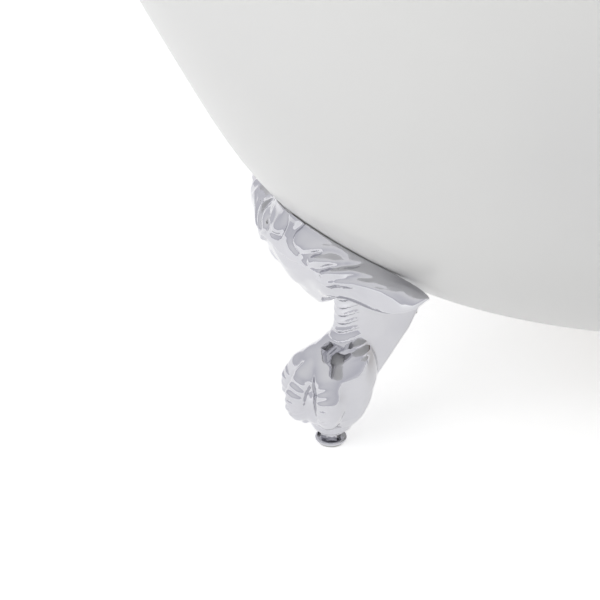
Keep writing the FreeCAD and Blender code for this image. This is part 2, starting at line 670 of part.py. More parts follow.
def lift_cable():
    """Cable in its sheath, from behind the knob down the stack and along the shoe tube."""
    top, bend = V(0, STACK_Y, CABLE_TOP), CABLE_BEND
    corner = V(0, STACK_Y - bend, PIPE_Z + bend)
    start, end = V(0, STACK_Y, corner.z), V(0, corner.y, PIPE_Z)
    middle = corner + V(0, 1, -1) * (bend / math.sqrt(2))
    route = Part.Wire([Part.LineSegment(top, start).toShape(), Part.Arc(start, middle, end).toShape(),
                       Part.LineSegment(end, V(0, CABLE_END, PIPE_Z)).toShape()])
    section = Part.Wire(Part.Circle(top, V(0, 0, -1), CABLE_R).toShape())
    return route.makePipeShell([section], True, False)


def cable_guides():
    """Spiders that hold the cable in the middle of the tubes and let the water past."""
    guides = []
    for centre, along in ((V(0, STACK_Y, CABLE_TOP - 16), V(0, 0, 1)),
                          (V(0, CABLE_END + 4, PIPE_Z), V(0, 1, 0))):
        disc = cylinder(TUBE_BORE - GAP, centre, centre + along * 3)
        across = V(1, 0, 0)
        holes = [cylinder(CABLE_R + THREAD_GAP, centre - along, centre + along * 4)]
        for i in range(3):
            spot = centre + FreeCAD.Rotation(along, 120 * i).multVec(across) * (TUBE_BORE * 0.56)
            holes.append(cylinder(TUBE_BORE * 0.3, spot - along, spot + along * 4))
        guides.append(disc.cut(holes))
    return guides


# ---- the whole bath ------------------------------------------------------------------
def corners(shape):
    """A piece at the front left foot and its three mirror images."""
    right = shape.mirror(V(0, 0, 0), V(1, 0, 0))
    return {"front_left": shape, "front_right": right,
            "rear_left": shape.mirror(V(0, 0, 0), V(0, 1, 0)),
            "rear_right": right.mirror(V(0, 0, 0), V(0, 1, 0))}


def main():
    os.makedirs("parts", exist_ok=True)
    save("tub_shell", tub_shell())
    save("base_board", board())
    for name, shape in (("foot", foot_casting()), ("bracket", bracket()), ("leveller", leveller()),
                        ("glide", glide())):
        for corner, piece in corners(shape).items():
            save("%s_%s" % (name, corner), piece)
    for name, shape in (("foot_nuts", stud_nut()), ("foot_washers", stud_washer()),
                        ("lock_nuts", lock_nut())):
        save(name, *corners(shape).values())
    for piece in (drain_flange, drain_washer, drain_shoe, rocker_pin, rocker_arm, stopper, stopper_ring,
                  shoe_tube, waste_tee, tailpiece, overflow_tube, overflow_elbow, overflow_gasket,
                  overflow_plate, overflow_knob, lift_cable):
        save(piece.__name__, piece())
    for group in (slip_nuts, slip_washers, cable_guides):
        save(group.__name__, *group())


if __name__ == "__main__":
    main()
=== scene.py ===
"""Double-ended roll-top bath on four ball-and-claw feet, with its exposed waste, dressed for rendering.

Sizes are in millimetres in the classes and become metres when a mesh is made.
"""

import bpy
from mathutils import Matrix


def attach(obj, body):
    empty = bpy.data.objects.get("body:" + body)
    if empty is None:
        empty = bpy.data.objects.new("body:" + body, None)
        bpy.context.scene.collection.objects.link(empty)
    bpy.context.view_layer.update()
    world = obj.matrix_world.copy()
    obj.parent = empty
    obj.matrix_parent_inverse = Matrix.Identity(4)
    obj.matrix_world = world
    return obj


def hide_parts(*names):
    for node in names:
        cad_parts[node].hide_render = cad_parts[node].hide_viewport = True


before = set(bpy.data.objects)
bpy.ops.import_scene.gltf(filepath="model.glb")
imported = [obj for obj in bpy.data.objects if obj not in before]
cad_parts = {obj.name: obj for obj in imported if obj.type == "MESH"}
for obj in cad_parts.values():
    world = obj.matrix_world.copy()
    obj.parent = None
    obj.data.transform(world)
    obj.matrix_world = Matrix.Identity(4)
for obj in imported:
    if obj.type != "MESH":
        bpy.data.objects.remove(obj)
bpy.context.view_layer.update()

import logging
from dataclasses import dataclass
from enum import Enum
from math import atan2, copysign, cos, degrees, dist, pi, radians, sin

import bmesh
import bpy
import numpy as np
import openvdb
from mathutils import Matrix, Vector

log = logging.getLogger("bath")
Array = np.ndarray
Pair = tuple[float, float]
Spot = tuple[float, float, float]
Thing, Tree, Socket = bpy.types.Object, bpy.types.NodeTree, bpy.types.NodeSocket
Points = tuple[Array, Array, Array]  # x, y and z, shaped so that they spread over a block
MM = 0.001  # metres in a millimetre
CORNERS = {"front_left": (1, 1), "front_right": (-1, 1), "rear_left": (1, -1), "rear_right": (-1, -1)}


# ---- small helpers ----
def linear(hex_code: str) -> tuple[float, float, float, float]:
    """Turns an sRGB hex value into the linear colour that a socket takes.

    Args:
        hex_code: six hex digits.
    Returns:
        Red, green, blue and an alpha of 1.
    """
    parts = [int(hex_code[i:i + 2], 16) / 255 for i in (0, 2, 4)]
    return tuple(p / 12.92 if p <= 0.04045 else ((p + 0.055) / 1.055) ** 2.4 for p in parts) + (1.0,)


def fill(node: bpy.types.Node, inputs: dict) -> None:
    """Sets a node's inputs.

    Args:
        node: the node.
        inputs: input name or number to a value, or to the output socket to link from.
    """
    for key, value in inputs.items():
        if isinstance(value, Socket):
            node.id_data.links.new(value, node.inputs[key])
        else:
            node.inputs[key].default_value = value


def add_node(tree: Tree, kind: str, inputs: dict | None = None, **settings: object) -> bpy.types.Node:
    """Adds a node with its settings, values and links.

    Args:
        tree: the tree that gets the node.
        kind: the node's type name.
        inputs: as fill takes them.
        **settings: properties of the node itself.
    Returns:
        The new node.
    """
    node = tree.nodes.new(kind)
    for name, value in settings.items():
        setattr(node, name, value)
    fill(node, inputs or {})
    return node


def calculate(tree: Tree, operation: str, a: object, b: object) -> Socket:
    """One sum on two values or sockets."""
    return add_node(tree, "ShaderNodeMath", {0: a, 1: b}, operation=operation).outputs[0]


def mesh_object(name: str, points: Array, faces: Array) -> Thing:
    """Makes an object at the origin from points in millimetres.

    Args:
        name: the object's name.
        points: one row of x, y, z for each point.
        faces: one row of point numbers for each face, all of one length.
    Returns:
        The linked object.
    """
    mesh = bpy.data.meshes.new(name)
    mesh.from_pydata((np.asarray(points, float) * MM).tolist(), [], np.asarray(faces).tolist())
    mesh.update()
    thing = bpy.data.objects.new(name, mesh)
    bpy.context.scene.collection.objects.link(thing)
    return thing


def grid_faces(rows: int, columns: int) -> Array:
    """Quads between closed rings of points laid out one after the other.

    Args:
        rows: how many rings.
        columns: points in a ring.
    Returns:
        One row of four point numbers for each quad.
    """
    r, c = np.meshgrid(np.arange(rows - 1), np.arange(columns), indexing="ij")
    n = (c + 1) % columns
    return np.stack([r * columns + c, r * columns + n, (r + 1) * columns + n, (r + 1) * columns + c],
                    -1).reshape(-1, 4)


def lathe(profile: Array, steps: int) -> tuple[Array, Array]:
    """Turns a profile about Z; profile points at radius 0 close the ends.

    Args:
        profile: rows of radius and height, from the bottom's middle to the top's middle.
        steps: points round the axis.
    Returns:
        Points and quads.
    """
    angle = np.linspace(0, 2 * np.pi, steps, endpoint=False)
    profile = np.asarray(profile, float)
    points = np.stack([profile[:, :1] * np.cos(angle), profile[:, :1] * np.sin(angle),
                       np.repeat(profile[:, 1:], steps, 1)], -1).reshape(-1, 3)
    return points, grid_faces(len(profile), steps)


def weld(thing: Thing, distance: float = 1e-6) -> None:
    """Merges doubled points and turns all faces outwards.

    Args:
        thing: the object whose mesh is mended.
        distance: how close two points are merged, in metres.
    """
    work = bmesh.new()
    work.from_mesh(thing.data)
    bmesh.ops.remove_doubles(work, verts=work.verts, dist=distance)
    bmesh.ops.dissolve_degenerate(work, dist=distance, edges=work.edges)
    bmesh.ops.recalc_face_normals(work, faces=work.faces)
    work.to_mesh(thing.data)
    work.free()


def apply_modifiers(thing: Thing) -> None:
    """Turns an object's evaluated shape into its plain mesh.

    Args:
        thing: an object with modifiers, which it loses.
    """
    made = bpy.data.meshes.new_from_object(thing.evaluated_get(bpy.context.evaluated_depsgraph_get()))
    thing.modifiers.clear()
    thing.data = made


# ---- finishes ----
@dataclass(frozen=True)
class Finish:
    """One real surface: what it is made of and how it was finished."""

    name: str
    colour: str
    roughness: float
    tint: str
    tint_mm: float
    relief_mm: float
    relief_height_mm: float
    relief_detail: float = 2.0
    metallic: float = 0.0
    ior: float = 1.5
    roughness_spread: float = 0.0
    coat: float = 0.0

    def material(self) -> bpy.types.Material:
        """Builds the material once and hands the same one back later.

        Returns:
            The material.
        """
        made = bpy.data.materials.get(self.name)
        if made:
            return made
        made = bpy.data.materials.new(self.name)
        made.use_nodes = True
        tree = made.node_tree
        fill(tree.nodes["Principled BSDF"],
             {"Metallic": self.metallic, "IOR": self.ior, "Coat Weight": self.coat, "Coat Roughness": 0.03,
              "Base Color": self.drift(tree), "Roughness": self.gloss(tree), "Normal": self.relief(tree)})
        made.diffuse_color = linear(self.colour)
        return made

    def coat_on(self, thing: Thing) -> None:
        """Gives an object this finish alone."""
        thing.data.materials.clear()
        thing.data.materials.append(self.material())

    def noise(self, tree: Tree, size_mm: float, detail: float) -> Socket:
        """A noise whose lumps, this far apart, have a real size; detail adds finer layers on top."""
        place = add_node(tree, "ShaderNodeTexCoord").outputs["Object"]
        return add_node(tree, "ShaderNodeTexNoise",
                        {"Vector": place, "Scale": 1000.0 / size_mm, "Detail": detail}).outputs["Fac"]

    def drift(self, tree: Tree) -> Socket:
        """The colour, with its slow drift towards the tint."""
        ramp = add_node(tree, "ShaderNodeMapRange",
                        {"Value": self.noise(tree, self.tint_mm, 3.0), "From Min": 0.38, "From Max": 0.66})
        return add_node(tree, "ShaderNodeMix", {0: ramp.outputs["Result"], 6: linear(self.colour),
                                                7: linear(self.tint)}, data_type="RGBA").outputs[2]

    def gloss(self, tree: Tree) -> Socket | float:
        """The roughness, which wanders where the finish has a spread.

        Args:
            tree: the material's tree.
        Returns:
            What the shader's input gets.
        """
        if not self.roughness_spread:
            return self.roughness
        return add_node(tree, "ShaderNodeMapRange",
                        {"Value": self.noise(tree, self.tint_mm * 0.4, 4.0),
                         "From Min": 0.35, "From Max": 0.7,
                         "To Min": max(0.0, self.roughness - self.roughness_spread),
                         "To Max": self.roughness + self.roughness_spread}).outputs["Result"]

    def relief(self, tree: Tree) -> Socket:
        """The surface's fine grain or long waves."""
        return add_node(tree, "ShaderNodeBump",
                        {"Height": self.noise(tree, self.relief_mm, self.relief_detail), "Strength": 1.0,
                         "Distance": self.relief_height_mm * MM}).outputs["Normal"]


# Vacuum formed acrylic: a hard even gloss, with the long faint waves of a formed sheet.
ACRYLIC = Finish("cast_acrylic_white", "F1F1EF", 0.3, ior=1.49, relief_mm=180.0, relief_height_mm=0.05,
                 relief_detail=1.0, tint="EDEDEC", tint_mm=400.0)
# Chrome plate on a polished casting: mirror bright, slightly wavy where the wheel followed the relief.
CAST_CHROME = Finish("chrome_plate_on_casting", "CCCCD0", 0.08, metallic=1.0, relief_mm=9.0,
                     relief_height_mm=0.03, relief_detail=1.0, roughness_spread=0.02,
                     tint="C6C6CB", tint_mm=40.0)
# Chrome plate on drawn or turned brass: the same colour, flatter.
TURNED_CHROME = Finish("chrome_plate_on_brass", "C6C6CA", 0.05, metallic=1.0, relief_mm=2.0,
                       relief_height_mm=0.002, roughness_spread=0.015, tint="BFBFC4", tint_mm=30.0)
# Zinc plated steel: dull blue-grey, with the cloudy passivation.
ZINC = Finish("zinc_plated_steel", "B4B7BB", 0.34, metallic=1.0, relief_mm=0.8, relief_height_mm=0.01,
              roughness_spread=0.08, tint="A5A49A", tint_mm=8.0)
# Moulded black rubber: matt, faintly dusty.
RUBBER = Finish("moulded_rubber_black", "1C1C1D", 0.72, ior=1.52, relief_mm=0.6,
                relief_height_mm=0.02, roughness_spread=0.08, tint="2A2A2B", tint_mm=10.0)
# Injection moulded nylon for cable parts: satin, with a fine spark-eroded grain.
NYLON = Finish("moulded_nylon_black", "26272A", 0.48, ior=1.53, relief_mm=0.5, relief_height_mm=0.01,
               tint="2E2F33", tint_mm=12.0)
# Moulded pads of translucent-looking polyethylene.
PAD = Finish("moulded_polyethylene_grey", "C9C9C6", 0.45, ior=1.51, relief_mm=0.7,
             relief_height_mm=0.01, tint="BDBDB9", tint_mm=6.0)
# Chipboard sealed under the shell with resin: speckled brown below a thin gloss.
BOARD = Finish("resin_sealed_chipboard", "A98B62", 0.42, relief_mm=3.0, relief_height_mm=0.15,
               tint="7D6240", tint_mm=5.0, coat=0.4)


class Dress(Enum):
    """Which finish each carried-over node gets."""

    BOARD = (BOARD, ("base_board",))
    ZINC = (ZINC, ("foot_nuts", "foot_washers", "rocker_arm", "rocker_pin",
                   *map("bracket_{}".format, CORNERS)))
    CHROME = (TURNED_CHROME, ("lock_nuts", "drain_flange", "drain_shoe", "stopper", "shoe_tube",
                              "waste_tee", "tailpiece", "slip_nuts", "overflow_tube",
                              "overflow_elbow", "overflow_plate", "overflow_knob"))
    RUBBER = (RUBBER, ("drain_washer", "stopper_ring", "slip_washers", "overflow_gasket"))
    NYLON = (NYLON, ("lift_cable", "cable_guides"))
    PAD = (PAD, tuple(map("glide_{}".format, CORNERS)))

    def apply(self) -> None:
        """Puts the finish on each of the nodes."""
        finish, nodes = self.value
        for node in nodes:
            finish.coat_on(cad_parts[node])
            log.info("dressed %s in %s", node, finish.name)


# ---- shell ----
@dataclass(frozen=True)
class HalfProfile:
    """One half of the shell's section: a flat, a bend, then a wall that runs into the rolled rim."""

    flat: float
    bend: float
    slope_deg: float
    roll: float
    base: float = 93.0
    roll_height: float = 582.0
    roll_bore: float = 10.0
    roll_end_deg: float = -70.0

    def wall(self) -> tuple[float, float, float, float]:
        """Works out the wall's arc.

        Returns:
            Its signed radius, its centre and its slope where it meets the roll, in radians.
        """
        slope = radians(self.slope_deg)
        tangent, normal = (cos(slope), sin(slope)), (-sin(slope), cos(slope))
        end = (self.flat + self.bend * tangent[1], self.base + self.bend * (1 - tangent[0]))
        dx = self.roll - (end[0] - self.roll_bore * normal[0])
        dz = self.roll_height - (end[1] - self.roll_bore * normal[1])
        across = dx * normal[0] + dz * normal[1]
        radius = (dx * dx + dz * dz) / (2 * across) - self.roll_bore
        return radius, end[0] + normal[0] * radius, end[1] + normal[1] * radius, \
            2 * atan2(dz, dx) - slope

    def at(self, z: Array, out: float = 0.0) -> Array:
        """Half width of the outer face, moved outwards.

        Args:
            z: heights.
            out: how far the face is moved outwards.
        Returns:
            The half width at each height.
        """
        z = np.asarray(z, float)
        radius, low = self.bend + out, self.base + self.bend
        wall, cx, cz, _ = self.wall()
        bend = self.flat + np.sqrt(np.maximum(0.0, radius ** 2 - (low - z) ** 2))
        upper = cx + copysign(1.0, wall) * np.sqrt(np.maximum(0.0, (wall + out) ** 2 - (z - cz) ** 2))
        return np.where(z <= low - radius * cos(radians(self.slope_deg)), bend, upper)

    def roll_point(self, radius: float, t: float) -> Pair:
        """A point of the rolled rim.

        Args:
            radius: distance from the roll's middle.
            t: 0 where the wall ends, 1 at the roll's lip.
        Returns:
            Half width and height.
        """
        start = 90.0 + degrees(self.wall()[3])
        a = radians(start + (self.roll_end_deg - start) * t)
        return self.roll + radius * cos(a), self.roll_height + radius * sin(a)


@dataclass(frozen=True)
class BathShell:
    """The acrylic shell with its rolled rim."""

    long_side: HalfProfile = HalfProfile(363.0, 340.0, 62.3, 832.0)
    wide_side: HalfProfile = HalfProfile(144.0, 212.0, 80.6, 382.0)
    wall: float = 8.0
    plan_low: float = 3.2
    plan_rim: float = 2.5
    plan_ease: float = 330.0
    top_ring: float = 560.0
    drain: Pair = (70.0, 26.0)
    overflow: Pair = (500.0, 25.0)
    around: int = 320
    rings: int = 150
    # Where the drills start: the drain's height, and the overflow's place across the bath, in metres.
    drill_low: float = 0.1
    drill_wide: float = 0.37

    def power(self, z: float) -> float:
        """Roundness of the plan at a height."""
        k = min(max((z - self.plan_ease) / (self.long_side.roll_height - self.plan_ease), 0.0), 1.0)
        return self.plan_low + (self.plan_rim - self.plan_low) * k * k * (3 - 2 * k)

    def ring(self, long_at: Pair, wide_at: Pair, power: float) -> Array:
        """One closed ring of the shell.

        Args:
            long_at: half length and height on the long axis.
            wide_at: half width and height on the short axis.
            power: roundness of the plan.
        Returns:
            One row of x, y, z for each point.
        """
        a = np.linspace(0, 2 * np.pi, self.around, endpoint=False)
        c, s = np.cos(a), np.sin(a)
        r = (np.abs(c) ** power + np.abs(s) ** power) ** (-1 / power)
        return np.stack([long_at[0] * r * c, wide_at[0] * r * s,
                         long_at[1] * c * c + wide_at[1] * s * s], -1)

    def wall_rings(self, out: float) -> list[Array]:
        """Rings of one face of the wall, from the bottom's edge to just under the roll.

        Args:
            out: 0 for the outer face, minus the wall for the inner one.
        Returns:
            The rings.
        """
        low, radius = self.long_side.base + self.long_side.bend, self.long_side.bend + out
        slope = radians(self.long_side.slope_deg)
        heights = [low - radius * cos(slope * i / 9) for i in range(10)]
        heights += [heights[-1] + (self.top_ring - heights[-1]) * i / 7 for i in range(1, 8)]
        return [self.ring((float(self.long_side.at(z, out)), z), (float(self.wide_side.at(z, out)), z),
                          self.power(z)) for z in heights]

    def roll_rings(self, radius: float) -> list[Array]:
        """Rings of one face of the rolled rim, from the wall to the lip."""
        return [self.ring(self.long_side.roll_point(radius, i / 8), self.wide_side.roll_point(radius, i / 8),
                          self.plan_rim) for i in range(9)]

    def smooth_rings(self, rings: list[Array]) -> Array:
        """Runs a smooth curve through the rings and takes evenly spaced ones from it.

        Args:
            rings: the rings to pass through.
        Returns:
            Array of rings.
        """
        stack = np.array(rings)
        step = np.linalg.norm(np.diff(stack, axis=0), axis=2).mean(1)
        t = np.concatenate([[0.0], np.cumsum(step)])
        n = len(t)
        system, right = np.zeros((n, n)), np.zeros((n,) + stack.shape[1:])
        system[0, 0] = system[-1, -1] = 1.0
        slope = np.diff(stack, axis=0) / step[:, None, None]
        for i in range(1, n - 1):
            system[i, i - 1:i + 2] = step[i - 1], 2 * (step[i - 1] + step[i]), step[i]
            right[i] = 6 * (slope[i] - slope[i - 1])
        second = np.linalg.solve(system, right.reshape(n, -1)).reshape(right.shape)
        u = np.linspace(0, t[-1], self.rings)
        k = np.clip(np.searchsorted(t, u, side="right") - 1, 0, n - 2)
        h, x = step[k][:, None, None], (u - t[k])[:, None, None]
        return (stack[k] + x * (slope[k] - h * (2 * second[k] + second[k + 1]) / 6)
                + x ** 2 * second[k] / 2 + x ** 3 * (second[k + 1] - second[k]) / (6 * h))

    def bottom_rings(self, edge: Array) -> list[Array]:
        """Rings of the flat bottom, from its middle to its edge."""
        middle = np.array([0.0, 0.0, edge[0, 2]])
        return [middle + (edge - middle) * k for k in (0.0, 0.02, 0.2, 0.4, 0.6, 0.8)]

    def build(self) -> Thing:
        """Builds the shell's mesh, with its two holes.

        Returns:
            The shell.
        """
        outer_wall, inner_wall = self.wall_rings(0.0), self.wall_rings(-self.wall)
        bore = self.long_side.roll_bore
        under, over = self.roll_rings(bore), self.roll_rings(bore + self.wall)
        outer = self.smooth_rings(outer_wall + under)
        inner = self.smooth_rings(inner_wall + over)
        mean = (under[-1] + over[-1]) / 2
        along = under[-1] - under[-2]
        along /= np.linalg.norm(along, axis=1)[:, None]
        across = (over[-1] - under[-1]) / 2
        lip = [mean - across * cos(a) + along * self.wall / 2 * sin(a)
               for a in np.linspace(0, pi, 9)[1:-1]]
        rows = self.bottom_rings(outer[0]) + list(outer) + lip + list(inner[::-1])
        rows += self.bottom_rings(inner[0])[::-1]
        points = np.concatenate(rows)
        shell = mesh_object("bath_shell", points, grid_faces(len(rows), self.around))
        weld(shell)
        self.drill(shell, Matrix.Translation((0, self.drain[0] * MM, self.drill_low)), self.drain[1])
        self.drill(shell, Matrix.Translation((0, self.drill_wide, self.overflow[0] * MM))
                   @ Matrix.Rotation(pi / 2, 4, "X"), self.overflow[1])
        shell.data.shade_smooth()
        log.info("bath_shell: %d faces", len(shell.data.polygons))
        return shell

    def drill(self, shell: Thing, place: Matrix, radius: float) -> None:
        """Cuts a round hole through the shell.

        Args:
            shell: the shell.
            place: the drill's place, its axis along its own Z.
            radius: the hole's radius in millimetres.
        """
        mesh = bpy.data.meshes.new("drill")
        work = bmesh.new()
        bmesh.ops.create_cone(work, cap_ends=True, segments=72, radius1=radius * MM,
                              radius2=radius * MM, depth=0.09, matrix=place)
        work.to_mesh(mesh)
        work.free()
        tool = bpy.data.objects.new("drill", mesh)
        bpy.context.scene.collection.objects.link(tool)
        cut = shell.modifiers.new("drill", "BOOLEAN")
        cut.operation, cut.object, cut.solver = "DIFFERENCE", tool, "EXACT"
        apply_modifiers(shell)
        bpy.data.objects.remove(tool)

    def dress(self, shell: Thing) -> None:
        """Finishes the shell and hands it to its body.

        Args:
            shell: the shell.
        """
        ACRYLIC.coat_on(shell)
        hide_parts("tub_shell")
        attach(shell, "bath")

    def inside_form(self, at: Points, out: float) -> Array:
        """Rough signed distance to the shell's outer form moved outwards: below 0 inside it.

        Args:
            at: the points, in the bath's frame.
            out: how far the form is moved outwards.
        Returns:
            The signed distance.
        """
        x, y, z = at
        height = np.maximum(z, self.long_side.base - out + 0.01)
        a, b, p = self.long_side.at(height, out), self.wide_side.at(height, out), self.plan_low
        u, v = np.abs(x) / a, np.abs(y) / b
        f = (u ** p + v ** p) ** (1 / p)
        eps = 2.0
        a2, b2 = self.long_side.at(height + eps, out), self.wide_side.at(height + eps, out)
        f2 = ((np.abs(x) / a2) ** p + (np.abs(y) / b2) ** p) ** (1 / p)
        gx = (u ** (p - 1)) * f ** (1 - p) / a
        gy = (v ** (p - 1)) * f ** (1 - p) / b
        gz = (f2 - f) / eps
        side = (f - 1) / np.maximum(np.sqrt(gx ** 2 + gy ** 2 + gz ** 2), 1e-5)
        return np.maximum(side, self.long_side.base - out - z)


# ---- feet ----
def blend(a: Array, b: Array, width: float) -> Array:
    """Joins two solids with a fillet.

    Args:
        a: signed distance to the first.
        b: signed distance to the second.
        width: how wide the fillet is.
    Returns:
        Signed distance to both together.
    """
    k = np.maximum(width - np.abs(a - b), 0) / width
    return np.minimum(a, b) - k * k * width / 4


def carve(a: Array, b: Array, width: float) -> Array:
    """What two solids share, with a rounded edge: the arguments are those of blend."""
    return -blend(-a, -b, width)


def smoothstep(low: float, high: float, value: Array) -> Array:
    """0 below low, 1 above high, and a soft ramp between them."""
    k = np.clip((value - low) / (high - low), 0, 1)
    return k * k * (3 - 2 * k)


def capsule(at: Points, start: tuple, end: tuple, r0: float, r1: float) -> Array:
    """Signed distance to a tapered rod with round ends.

    Args:
        at: the points.
        start: one end's middle.
        end: the other end's middle.
        r0: radius at the start.
        r1: radius at the end.
    Returns:
        The signed distance.
    """
    d = [b - a for a, b in zip(start, end)]
    px, py, pz = (p - m for p, m in zip(at, start))
    t = np.clip((px * d[0] + py * d[1] + pz * d[2]) / (sum(v * v for v in d) + 1e-9), 0, 1)
    return np.sqrt((px - t * d[0]) ** 2 + (py - t * d[1]) ** 2 + (pz - t * d[2]) ** 2) - (r0 + (r1 - r0) * t)


def ellipsoid(at: Points, middle: tuple, radii: tuple) -> Array:
    """Near signed distance to an ellipsoid.

    Args:
        at: the points.
        middle: its middle.
        radii: its three radii.
    Returns:
        The signed distance.
    """
    u, v, w = ((p - m) / r for p, m, r in zip(at, middle, radii))
    k = np.sqrt(u * u + v * v + w * w) + 1e-6
    g = np.sqrt((u / radii[0]) ** 2 + (v / radii[1]) ** 2 + (w / radii[2]) ** 2) + 1e-9
    return k * (k - 1) / g


@dataclass(frozen=True)
class Stroke:
    """A ridge or a groove that follows a line on the saddle's face.

    Each stop is (distance from the saddle's middle in mm, share of the way from rim to lower border).
    """

    stops: tuple
    height: float
    width: float


@dataclass(frozen=True)
class Saddle:
    """The cupped plate that carries the bath, with its carved leaves."""

    half: float = 116.0
    # The rim against the bath and the lower border, as terms in the square of the distance from the middle
    # over the half width; the border dips in a notch there.
    rim_x: Spot = (34.7, -104.9, 62.2)
    rim_z: Spot = (213.6, -70.9, 44.7)
    border_x: Pair = (31.0, -27.0)
    border_z: Pair = (160.0, 21.0)
    notch: Pair = (21.0, 28.0)
    notch_width: float = 22.0
    swell: Pair = (13.0, 6.0)
    thick: float = 17.0
    # Share of the swell at shares of the way down the face.
    bow: tuple = ((-0.15, -0.5), (0, 0), (0.1, 0.45), (0.22, 0.8), (0.4, 1.0), (0.6, 0.9), (0.8, 0.55),
                  (1.0, 0))
    # Lower edge of the two leaf groups: they stand proud of the apron below them.
    group_edge: tuple = ((0, 0.28), (8, 0.30), (18, 0.327), (27, 0.38), (36, 0.48), (40, 0.667), (45, 0.733),
                         (54, 0.633), (66, 0.613), (76, 0.667), (87, 0.767), (100, 0.973), (112, 1.3))
    group_step: float = 3.4
    group_bead: Spot = (1.2, 2.8, 2.0)
    strokes: tuple = (
        Stroke(((13, -0.073), (10, -0.013), (6, 0.047), (6, 0.10), (8, 0.147), (12, 0.173), (18, 0.207),
                (20, 0.247)), -3.5, 2.2),
        Stroke(((20, 0.167), (26, 0.133), (34, 0.067), (41, 0.007), (46, -0.02), (52, 0.007), (57, 0.06)),
               1.6, 2.4),
        Stroke(((23, 0.213), (30, 0.187), (36, 0.113), (42, 0.073), (48, 0.073), (54, 0.107)), -2.2, 3.0),
        Stroke(((29, 0.313), (34, 0.24), (42, 0.167), (49, 0.127), (52, 0.127)), 2.2, 4.5),
        Stroke(((36, 0.40), (42, 0.353), (46, 0.28), (54, 0.20), (59, 0.12), (64, 0.04)), -3.2, 2.4),
        Stroke(((28, 0.213), (32, 0.16), (36, 0.107)), -1.5, 1.6),
        Stroke(((40, 0.50), (49, 0.373), (58, 0.26), (67, 0.133)), 2.0, 4.5),
        Stroke(((46, 0.547), (60, 0.427), (69, 0.327), (78, 0.273)), -1.4, 3.0),
        Stroke(((50, 0.587), (68, 0.487), (86, 0.58), (102, 0.773)), 1.8, 7.0),
    )
    # Lumps: distance from the middle, share of the way down, size and height.
    nose: tuple = (16.0, 0.10, 5.5, 2.2)
    lobes: tuple = ((76, 0.70, 10.0, 2.6), (90, 0.91, 9.0, 2.4), (38, 0.933, 9.0, 2.2))
    lobe_tilt: float = 0.004
    lobe_high: float = 5.0
    # Share of the way down, width, height, and the distances from the middle where it is gone and whole.
    bead: tuple = (0.97, 3.8, 2.6, 62, 34)
    hollow: tuple = (0.72, 9.0, 2.4, 36, 12)
    # Distance from the middle and width, share of the way down and width, and depth.
    dent: tuple = (56, 9.0, 0.74, 4.0, 1.4)

    def section(self, y: Array) -> tuple[Array, ...]:
        """The rim and the lower border at a distance from the saddle's middle.

        Args:
            y: distances from the middle.
        Returns:
            Rim x and z, border x and z, and the face's swell between them.
        """
        q = (y / self.half) ** 2
        drop = np.exp(-(y / self.notch_width) ** 2)
        swell = (self.swell[0] + self.swell[1] * drop) * (1 - 0.8 * np.minimum(q, 1))
        rim = (a + b * q + c * q * q for a, b, c in (self.rim_x, self.rim_z))
        border = (a + b * q - n * drop for (a, b), n in zip((self.border_x, self.border_z), self.notch))
        return *rim, *border, swell

    def face(self, a: Array | float) -> Array | float:
        """Length of the face from rim to lower border, at a distance from the saddle's middle."""
        cx, cz, bx, bz, _ = self.section(a)
        return np.hypot(bx - cx, bz - cz)

    def along(self, a: Array, v: Array, stroke: Stroke) -> tuple[Array, Array]:
        """Where points of the face are from a stroke.

        Args:
            a: distances from the saddle's middle.
            v: shares of the way down the face.
            stroke: the stroke.
        Returns:
            Distance from the stroke on the face, and how far along it the nearest point lies, from 0 to 1.
        """
        best, where = np.full(np.broadcast(a, v).shape, 1e3), np.zeros(np.broadcast(a, v).shape)
        stops = [(s[0], s[1] * float(self.face(s[0]))) for s in stroke.stops]
        w = v * self.face(a)
        lengths = [dist(p, q) for p, q in zip(stops, stops[1:])]
        run, total = 0.0, sum(lengths)
        for (a0, w0), (a1, w1), length in zip(stops, stops[1:], lengths):
            da, dw = a1 - a0, w1 - w0
            t = np.clip(((a - a0) * da + (w - w0) * dw) / (length * length + 1e-9), 0, 1)
            d = np.hypot(a - a0 - t * da, w - w0 - t * dw)
            closer = d < best
            best = np.where(closer, d, best)
            where = np.where(closer, (run + t * length) / total, where)
            run += length
        return best, where

    def relief(self) -> tuple[Array, Array, Array]:
        """Height of the carving over the plain face, on a fine net.

        Returns:
            Distances from the middle, shares of the way down the face, and the heights.
        """
        a, v = np.linspace(0, 120, 481), np.linspace(-0.2, 1.3, 376)
        aa, vv = np.meshgrid(a, v, indexing="ij")
        edge = np.interp(a, *zip(*self.group_edge))[:, None]
        face = self.face(aa)
        inside = smoothstep(1.6, -1.6, (vv - edge) * face)
        fade = smoothstep(118, 96, aa)
        height = self.group_step * inside * fade
        tall, over, size = self.group_bead
        height += tall * np.exp(-(((vv - edge) * face + over) / size) ** 2) * fade * smoothstep(2, 10, aa)
        for stroke in self.strokes:
            d, t = self.along(aa, vv, stroke)
            ends = smoothstep(0, 0.14, t) * smoothstep(1, 0.86, t)
            height += stroke.height * np.exp(-(d / stroke.width) ** 2) * ends
        y0, v0, size, tall = self.nose
        height += tall * np.exp(-((aa - y0) ** 2 + ((vv - v0) * face) ** 2) / size ** 2)
        for y0, v0, size, tall in self.lobes:
            down = vv - v0 - self.lobe_tilt * (aa - y0)
            d2 = ((aa - y0) / size) ** 2 + (down * face / self.lobe_high) ** 2
            height += tall * np.exp(-d2 * d2) * (1 - inside)
        bead, hollow = (tall * (np.exp(-((vv - v0) * face / size) ** 2) * smoothstep(gone, whole, aa))
                        for v0, size, tall, gone, whole in (self.bead, self.hollow))
        y0, wide, v0, size, deep = self.dent
        dent = np.exp(-((aa - y0) / wide) ** 2 - ((vv - v0) * face / size) ** 2) * (1 - inside)
        return a, v, height + bead - hollow - deep * dent

